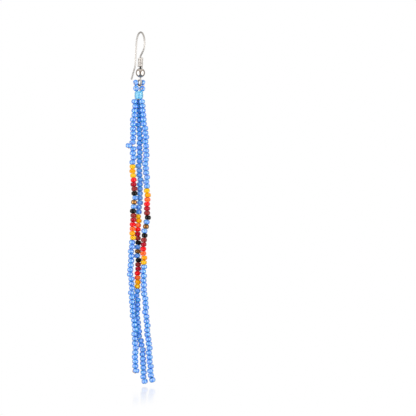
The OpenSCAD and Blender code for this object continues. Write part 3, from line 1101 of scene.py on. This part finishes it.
@dataclass
class Strand(Part):
    """A strand: blue beads, a band of coloured ones, blue beads again and a turned end bead."""

    name: str
    # Pairs of a bead's number and its drop
    drops: Rows
    # Rows of drop, side and depth
    route: tuple[Triple, ...]
    # Numbers of blue beads above and below the band
    above: int
    below: int
    end_way: Triple
    # Where the thread stands off the end bead that it goes back round, as side and depth
    loop_side: Pair
    head: Head
    band: tuple[Slot, ...] = BAND
    # Sets the strands back until the tassel's weight is under the eye
    back: float = 0.07
    # Half the length over which the route is rounded off at each row
    softness: float = 1.6
    # Each bead's own small shift and tilt repeat the same way each time
    shift: float = 0.24
    depth_share: float = 0.5
    tilt: float = 3.5
    turns: Pair = (137.5, 61)
    phases: tuple[float, float, float, float] = (20, 75, 130, 200)
    # Beads are fitted to the room they have on the thread, but hardly longer than usual
    most_stretch: float = 1.02
    # How far the thread starts inside the head bead, and how far it runs out of the end bead
    reach: float = 0.7
    lead: float = 0.1
    # Its corners beside the end bead, as shares of half the bead's length and of its distance
    corner_along: float = 0.75
    corner_out: float = 0.8
    # How far beside the last gap it ends
    end_out: float = 0.25

    @property
    def lower_start(self) -> int:
        """The number of the first bead below the band."""
        return self.above + len(self.band)

    @property
    def end(self) -> int:
        """The number of the end bead."""
        return self.lower_start + self.below

    def rounded(self, drop: float, column: int) -> float:
        """Reads the route, rounded off at its rows.

        Args:
            drop: Where to read it.
            column: 1 for the side and 2 for the depth.

        Returns:
            The side or depth, in millimetres.
        """
        rows = [(row[0], row[column]) for row in self.route]
        near = lookup(drop - self.softness, rows) + lookup(drop + self.softness, rows)
        return (near + 2 * lookup(drop, rows)) / 4

    def on_route(self, n: float) -> Vector:
        """Gives the route's point at a bead number, in the tassel's view."""
        drop = lookup(n, self.drops)
        return Vector((self.rounded(drop, 1), self.rounded(drop, 2) + self.back, -drop))

    def wobble(self, n: float, phase: float) -> float:
        """Gives a wave along the strand, which differs from bead to bead.

        Args:
            n: The bead's number.
            phase: Where the wave starts, in degrees.

        Returns:
            Its height, from -1 to 1.
        """
        quick, slow = self.turns
        swing = math.sin(math.radians(n * quick + phase))
        return swing * math.cos(math.radians(n * slow + 2 * phase))

    def bead(self, n: float) -> Place:
        """Works out where a bead sits.

        Args:
            n: The bead's number, or half a number more for the joint after it.

        Returns:
            Its place in the row's frame.
        """
        side_phase, depth_phase, tilt_phase, nod_phase = self.phases
        letters = len(self.name)
        aside = self.wobble(n, side_phase * letters)
        moved = Vector((aside, self.depth_share * self.wobble(n, depth_phase), 0))
        tilted = Vector((self.wobble(n, tilt_phase), self.wobble(n, nod_phase + letters), 0))
        # The route begins at the first bead's middle
        start = max(n - 0.5, 0)
        along = self.on_route(start) - self.on_route(start + 1)
        way = along.normalized() + math.sin(math.radians(self.tilt)) * tilted
        middle = self.on_route(n) + self.shift * moved
        stretch = min(along.length / SEED.length, self.most_stretch)
        return Place(TO_ROW @ middle, (TO_ROW @ way).normalized(), stretch)

    def end_bead(self) -> Place:
        """Gives the place of the end bead."""
        return Place(self.bead(self.end).middle, (TO_ROW @ Vector(self.end_way)).normalized())

    def thread(self) -> list[Vector]:
        """Lays out the thread.

        Returns:
            Its points, from the head bead to round the end bead and back.
        """
        first = self.bead(0).middle
        below = self.head.hole_end(-1, Vector())
        across = Vector((first.x - below.x, first.y - below.y, 0)).normalized()
        hole = self.head.hole_end(-1, across)
        gap = self.bead(self.end - 0.5).middle
        end = self.end_bead()
        half = SEED.length / 2
        rise = end.way * half * self.corner_along
        out = TO_ROW @ Vector((*self.loop_side, 0))
        beside = out * (SEED.outer / 2 + THREAD_RADIUS)
        corner = beside * self.corner_out
        return [
            hole + UP * self.reach, hole,
            *[self.bead(n / 2).middle for n in range(0, 2 * self.end - 1)],
            gap, end.middle, end.middle - end.way * (half + self.lead),
            end.middle - rise + corner, end.middle + beside, end.middle + rise + corner,
            gap + out * self.end_out,
        ]

    def build(self) -> None:
        """Strings the strand, one piece for each stretch of blue and each colour of the band."""
        runs = {
            "upper": (Slot.BLUE, range(self.above)),
            "lower": (Slot.BLUE, range(self.lower_start, self.end)),
        }
        for slot in dict.fromkeys(self.band):
            numbers = [self.above + k for k, worn in enumerate(self.band) if worn is slot]
            runs[slot.colour] = (slot, numbers)
        for label, (slot, numbers) in runs.items():
            name, node = f"{self.name}_{label}_glass", f"{self.name}_{label}_beads"
            self.workshop.string_beads(name, SEED, [self.bead(n) for n in numbers], slot, node)
        name, node = f"{self.name}_end_glass", f"{self.name}_end_bead"
        self.workshop.string_beads(name, ROUND_SEED, [self.end_bead()], Slot.BLUE, node)
        self.workshop.draw_thread(f"{self.name}_thread", self.thread(), f"{self.name}_band_thread")


def make_strands(workshop: Workshop, head: Head) -> list[Strand]:
    """Lays out the three strands.

    Args:
        workshop: Where they are made.
        head: The bead that gathers them.

    Returns:
        The left, middle and right strand.
    """
    return [
        Strand(
            workshop, "left",
            drops=(
                (0, 22.78), (9, 36.42), (10, 38.5), (14, 44.5), (30, 68.17), (58, 110.95),
                (59, 112.51),
            ),
            route=(
                (22.6, -1.65, -0.1), (28.5, -2.25, -0.2), (33, -2.55, -0.15), (37, -2.4, -0.1),
                (47.5, -2.6, -0.2), (50.5, -2.1, -0.3), (53.5, -1.8, -0.3), (57, -2.1, -0.25),
                (60, -2.4, -0.2), (68, -2.6, -0.2), (75, -3.1, -0.1), (79.5, -3.4, -0.1),
                (83, -2.95, -0.2), (91, -2.75, -0.3), (97, -1.95, -0.35), (103, -1.75, -0.2),
                (112.5, -1.65, 0),
            ),
            above=14,
            below=28,
            # Its third bead is a yellow one
            band=(*BAND[:2], Slot.YELLOW, *BAND[3:]),
            end_way=(0.14, 0.14, 1),
            loop_side=(-1, -0.1),
            head=head,
        ),
        Strand(
            workshop, "middle",
            drops=((0, 22.8), (25, 61.1), (41, 84.43), (62, 116.13)),
            route=(
                (23.1, -0.55, 1.7), (31, -0.5, 1.55), (38, -0.15, 1.45), (43, -0.55, 1.5),
                (52, -0.1, 1.45), (57, -0.35, 1.4), (62, -0.8, 1.45), (70, -0.95, 1.5),
                (79, -0.8, 1.5), (84, -1.1, 1.5), (94, -1.1, 1.5), (98, -0.9, 1.45),
                (103, 0.1, 1.2), (107, 0.9, 1.05), (113.5, 0.85, 0.9), (116.2, 1.5, 0.85),
            ),
            above=25,
            below=20,
            end_way=(-0.25, 0.1, 1),
            loop_side=(0.3, 0.95),
            head=head,
        ),
        Strand(
            workshop, "right",
            drops=((0, 22.78), (20, 52.5), (36, 76.37), (62, 115.57)),
            route=(
                (22.8, 0.7, -0.1), (26, 0.65, -0.1), (31.5, 1.5, 0), (38, 1.95, 0.05),
                (43.5, 1.7, 0), (53, 2.3, -0.1), (63, 2.25, -0.15), (67, 1.2, -0.2),
                (72, 1, -0.2), (79, 1.2, -0.15), (82.5, 0.9, -0.15), (88, 1.5, -0.1),
                (96, 2.05, 0), (105, 2.9, 0.1), (114, 3.35, 0.15), (115.6, 4.25, 0.15),
            ),
            above=20,
            below=25,
            end_way=(-0.3, -0.2, 1),
            loop_side=(0.1, 1),
            head=head,
        ),
    ]


@dataclass
class SideBead(Part):
    """The bead that stands out to the left of the left strand, on a loop of its thread."""

    strand: Strand
    bead: LooseBead = LooseBead("side", -3.8, -1.24, 37.5, (0.17, 0.1, 1))
    # The thread leaves the strand in the gap at this bead number
    gap: float = 9.5
    lead: float = 0.15

    def build(self) -> None:
        """Makes the bead and its loop of thread."""
        place = self.bead.place()
        self.workshop.string_beads("side_glass", ROUND_SEED, [place], Slot.BLUE, "left_side_bead")
        below, above = self.bead.ends(ROUND_SEED, self.lead)
        start = self.strand.bead(self.gap).middle
        self.workshop.draw_thread("side_thread", [start, above, below, start])


@dataclass
class Studio:
    """The pale floor, the soft lights, the surroundings and the camera."""

    # Middle of the picture in the tassel's view, and the width of the picture there
    centre_side: float = 22.53
    centre_drop: float = 58.27
    picture_width: float = 138.67
    distance: float = 800
    sensor: float = 36
    # Nearest and farthest that the camera sees, in metres
    sight: Pair = (0.01, 20)
    floor_drop: float = 117.55
    floor_size: float = 6000
    floor_blur: float = 0.1
    # Gloss of the floor just in front of the earring, as a share of a bare glossy sheet's
    floor_gloss: float = 0.46
    floor_ior: float = 1.5
    # It fades out between these distances towards the camera, and faster sideways and behind
    gloss_fade: Pair = (14, 92)
    fade_beside: float = 6
    fade_behind: float = 9
    # Each side has a wide soft light and, in front of it, a smaller one that only adds highlights.
    # The fill light in front is so soft that no reflection shows it.
    # Rows of name, turns from the camera, distance, drop, width, height and radiance
    lights_table: tuple[tuple[str, tuple[float, ...], float, float, float, float, float], ...] = (
        ("wide", (-66, 66), 400, 180, 570, 853, 1.05),
        ("core", (-50, 50), 380, 80, 220, 420, 3.2),
        ("fill", (0,), 700, -100, 600, 600, 5.3),
    )
    backdrop: str = "#FFFFFF"
    front: str = "#AEA39D"
    # Over the front's tint each of these takes over between two values of how far a direction
    # points ahead or up
    zones: tuple[tuple[str, str, float, float], ...] = (
        ("#A8A39E", "ahead", -0.6, 0.0),
        ("#F4ECE4", "up", 0.45, 0.8),
        ("#888C90", "up", -0.45, -0.8),
        ("#FFFFFF", "ahead", 0.8, 0.96),
    )

    def looking(self) -> Vector:
        """Gives the direction in which the camera looks."""
        return TO_ROW @ Vector((0, 1, 0))

    def camera(self) -> None:
        """Makes the camera, level with the middle of the tassel."""
        data = bpy.data.cameras.new("camera")
        data.sensor_width = self.sensor
        data.lens = self.sensor * self.distance / self.picture_width
        data.clip_start, data.clip_end = self.sight
        camera = bpy.data.objects.new("camera", data)
        middle = spot(self.centre_side, 0, self.centre_drop)
        camera.location = (middle - self.looking() * self.distance) * MM
        camera.rotation_euler = (math.pi / 2, 0, -VIEW_TURN)
        bpy.context.scene.collection.objects.link(camera)
        bpy.context.scene.camera = camera

    def lights(self) -> None:
        """Sets the soft lights, two on each side and one in front."""
        for label, turns, distance, drop, width, height, radiance in self.lights_table:
            for angle in [math.radians(turn) for turn in turns]:
                data = bpy.data.lights.new(f"{label}_light", "AREA")
                data.shape = "RECTANGLE"
                data.size, data.size_y = width * MM, height * MM
                data.energy = radiance * math.pi * data.size * data.size_y
                light = bpy.data.objects.new(data.name, data)
                towards = TO_ROW @ Vector((math.sin(angle), -math.cos(angle), 0))
                light.location = (towards * distance - Vector((0, 0, drop))) * MM
                light.rotation_mode = "QUATERNION"
                light.rotation_quaternion = towards.to_track_quat("Z", "Y")
                light.visible_camera = False
                light.visible_glossy = label != "fill"
                light.visible_diffuse = label != "core"
                bpy.context.scene.collection.objects.link(light)

    def floor_material(self) -> Material:
        """Makes the floor's glazed white board, which mirrors faintly just under the strands.

        Returns:
            The material.
        """
        material, add = new_material("white_floor")
        place = add("ShaderNodeTexCoord").outputs["Object"]
        turned = add("ShaderNodeMapping", {"Vector": place, "Rotation": (0, 0, VIEW_TURN)})
        parts = add("ShaderNodeSeparateXYZ", {0: turned}).outputs
        front, behind, beside = [
            add("ShaderNodeMath", {0: parts[axis], 1: factor}, operation="MULTIPLY")
            for axis, factor in (("Y", -1.0), ("Y", self.fade_behind), ("X", self.fade_beside))
        ]
        along = add("ShaderNodeMath", {0: front, 1: behind}, operation="MAXIMUM")
        level = add("ShaderNodeCombineXYZ", {0: beside, 1: along})
        away = add("ShaderNodeVectorMath", {0: level}, operation="LENGTH").outputs["Value"]
        near, far = [distance * MM for distance in self.gloss_fade]
        spans = {"From Min": near, "From Max": far, "To Min": self.floor_gloss, "To Max": 0.0}
        fade = {"Value": away, **spans}
        share = add("ShaderNodeMapRange", fade, interpolation_type="SMOOTHSTEP")
        glance = add("ShaderNodeFresnel", {"IOR": self.floor_ior})
        mirrored = add("ShaderNodeMath", {0: share, 1: glance}, operation="MULTIPLY")
        colour = {"Color": linear(self.backdrop)}
        white = add("ShaderNodeEmission", {**colour, "Strength": 1.0})
        gloss = add("ShaderNodeBsdfGlossy", {**colour, "Roughness": self.floor_blur})
        mix = add("ShaderNodeMixShader", {"Fac": mirrored, 1: white, 2: gloss})
        add("ShaderNodeOutputMaterial", {"Surface": mix})
        return material

    def floor(self) -> None:
        """Lays the floor, bright white and level with the strands' ends."""
        half, height = self.floor_size / 2 * MM, -self.floor_drop * MM
        corners = [(x * half, y * half, height) for x, y in ((-1, -1), (1, -1), (1, 1), (-1, 1))]
        mesh = bpy.data.meshes.new("floor")
        mesh.from_pydata(corners, [], [(0, 1, 2, 3)])
        mesh.materials.append(self.floor_material())
        floor = bpy.data.objects.new("floor", mesh)
        # Polished metal mirrors the room below instead, as the table's dark front edge
        floor.visible_glossy = False
        bpy.context.scene.collection.objects.link(floor)

    def surroundings(self) -> None:
        """Lights the scene from a dim room with a white backdrop straight ahead of the camera."""
        world = bpy.data.worlds.new("studio")
        world.use_nodes = True
        world.node_tree.nodes.clear()
        add = partial(add_node, world.node_tree)
        way = add("ShaderNodeTexCoord").outputs["Generated"]
        ahead = add("ShaderNodeVectorMath", {0: way, 1: self.looking()}, operation="DOT_PRODUCT")
        height = add("ShaderNodeSeparateXYZ", {0: way})
        measures = {"ahead": ahead.outputs["Value"], "up": height.outputs["Z"]}
        colour: Any = linear(self.front)
        for tint, measure, begin, full in self.zones:
            zone = {"Value": measures[measure], "From Min": begin, "From Max": full}
            share = add("ShaderNodeMapRange", zone, interpolation_type="SMOOTHSTEP")
            tints = {"Factor": share, "A": colour, "B": linear(tint)}
            colour = add("ShaderNodeMix", tints, data_type="RGBA").outputs["Result"]
        room = add("ShaderNodeBackground", {"Color": colour})
        white = add("ShaderNodeBackground", {"Color": linear(self.backdrop)})
        seen = add("ShaderNodeLightPath").outputs["Is Camera Ray"]
        mix = add("ShaderNodeMixShader", {"Fac": seen, 1: room, 2: white})
        add("ShaderNodeOutputWorld", {"Surface": mix})
        bpy.context.scene.world = world

    def build(self) -> None:
        """Sets the whole studio up, with plain colours in the picture."""
        bpy.context.scene.view_settings.view_transform = "Standard"
        self.camera()
        self.lights()
        self.floor()
        self.surroundings()


def main() -> None:
    """Builds the studio and the earring."""
    logging.basicConfig(level=logging.INFO, format="%(name)s: %(message)s")
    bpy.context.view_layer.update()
    Studio().build()
    workshop = Workshop()
    hook, head = EarHook(workshop), Head(workshop)
    ring = BeadRing(workshop, head, hook)
    strands = make_strands(workshop, head)
    side = SideBead(workshop, strands[0])
    for part in (hook, Coil(workshop), Ball(workshop), ring, head, *strands, side):
        part.build()


if __name__ == "__main__":
    main()
